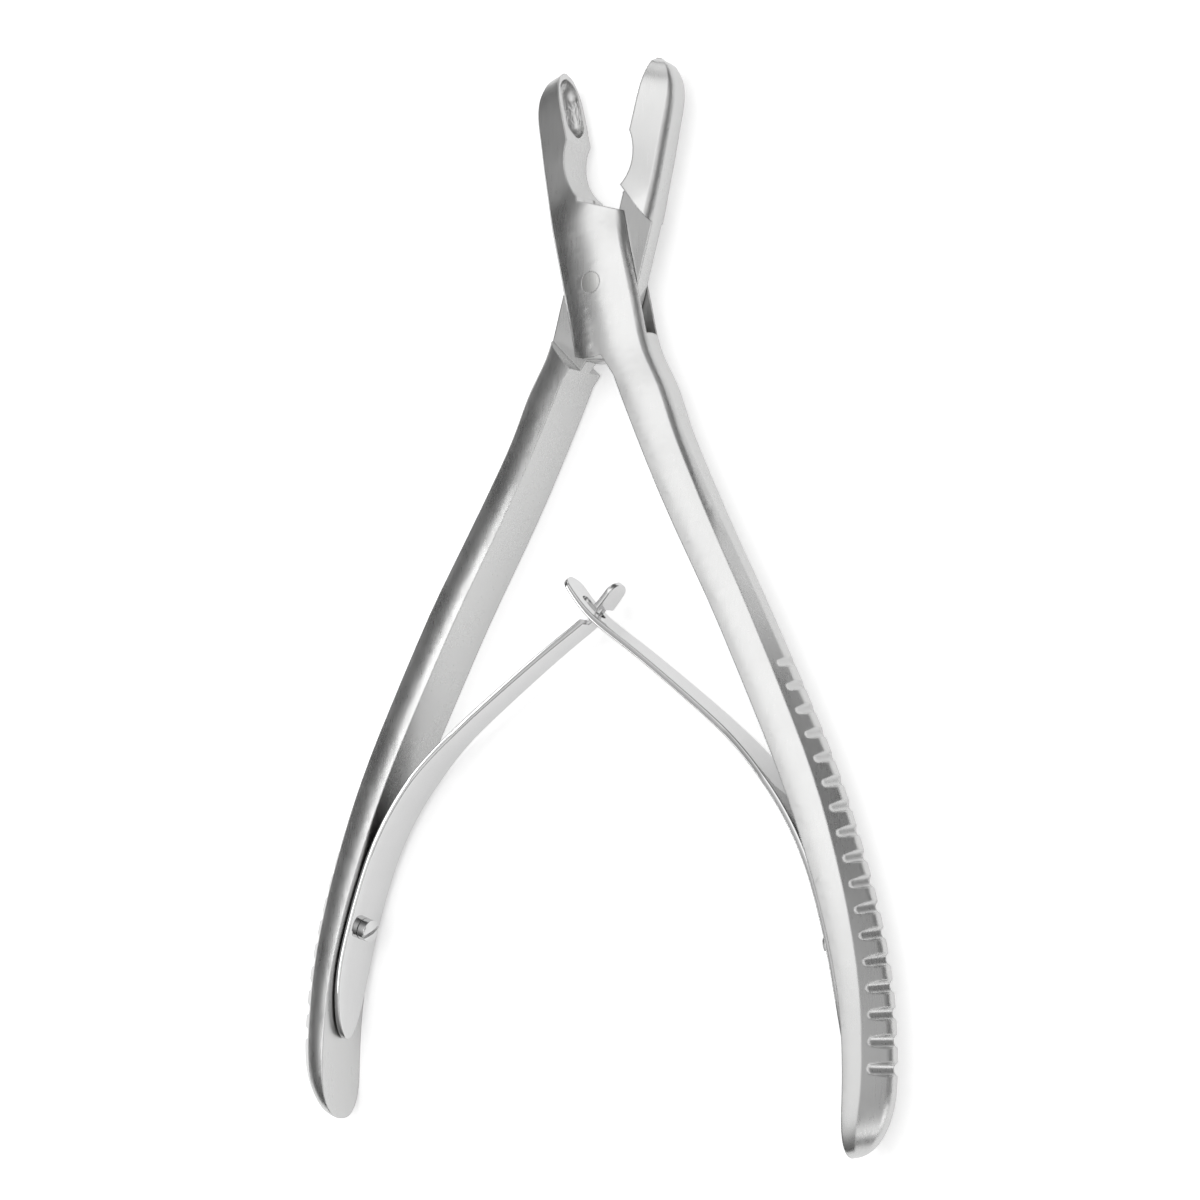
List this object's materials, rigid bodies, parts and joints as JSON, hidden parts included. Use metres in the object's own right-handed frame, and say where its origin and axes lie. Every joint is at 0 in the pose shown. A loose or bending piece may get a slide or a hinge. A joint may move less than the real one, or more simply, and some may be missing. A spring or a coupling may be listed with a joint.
{
  "type": "bone rongeur",
  "caption": "Box-lock bone rongeur with cupped jaws, ribbed curved handles and crossed leaf springs that reopen it.",
  "frame": {"origin": "on the pin's axis, at the flat land on the underside of the box lock; the handles are thicker than the box and reach 0.65 mm lower", "axes": "+Y from the pin towards the jaw tips, +Z along the pin, +X towards the handle that belongs to the jaw on the -X side"},
  "size_m": [0.1145, 0.1696, 0.0094],
  "materials": {
    "box_lever_steel": "satin",
    "tongue_lever_steel": "satin",
    "pin_steel": "satin",
    "right_leaf_steel": "polished",
    "left_leaf_steel": "polished",
    "right_screw_steel": "polished",
    "left_screw_steel": "polished"
  },
  "bodies": {
    "box_half": {"box_lever": "box_lever_steel", "joint_pin": "pin_steel", "right_spring_screw": "right_screw_steel"},
    "tongue_half": {"tongue_lever": "tongue_lever_steel", "left_spring_screw": "left_screw_steel"},
    "right_leaf": {"right_leaf_spring": "right_leaf_steel"},
    "left_leaf": {"left_leaf_spring": "left_leaf_steel"}
  },
  "joints": [
    {"name": "jaw_pivot", "type": "hinge", "parent": "box_half", "child": "tongue_half", "pos_m": [0, 0, 0.004], "axis": [0, 0, 1], "range_deg": [0, 28.8], "stiffness_Nm_per_rad": 1, "springref_deg": -2.86},
    {"name": "right_leaf_flex", "type": "hinge", "parent": "box_half", "child": "right_leaf", "pos_m": [0.0345, -0.0788, 0.004], "axis": [0, 0, 1], "range_deg": [-21.6, 0], "deforming": ["right_leaf_spring"]},
    {"name": "left_leaf_flex", "type": "hinge", "parent": "tongue_half", "child": "left_leaf", "pos_m": [-0.0345, -0.0788, 0.004], "axis": [0, 0, 1], "range_deg": [0, 21.6], "deforming": ["left_leaf_spring"]}
  ],
  "couplings": [
    {"joint": "right_leaf_flex", "follows": "jaw_pivot", "ratio": -0.75},
    {"joint": "left_leaf_flex", "follows": "jaw_pivot", "ratio": 0.75}
  ]
}
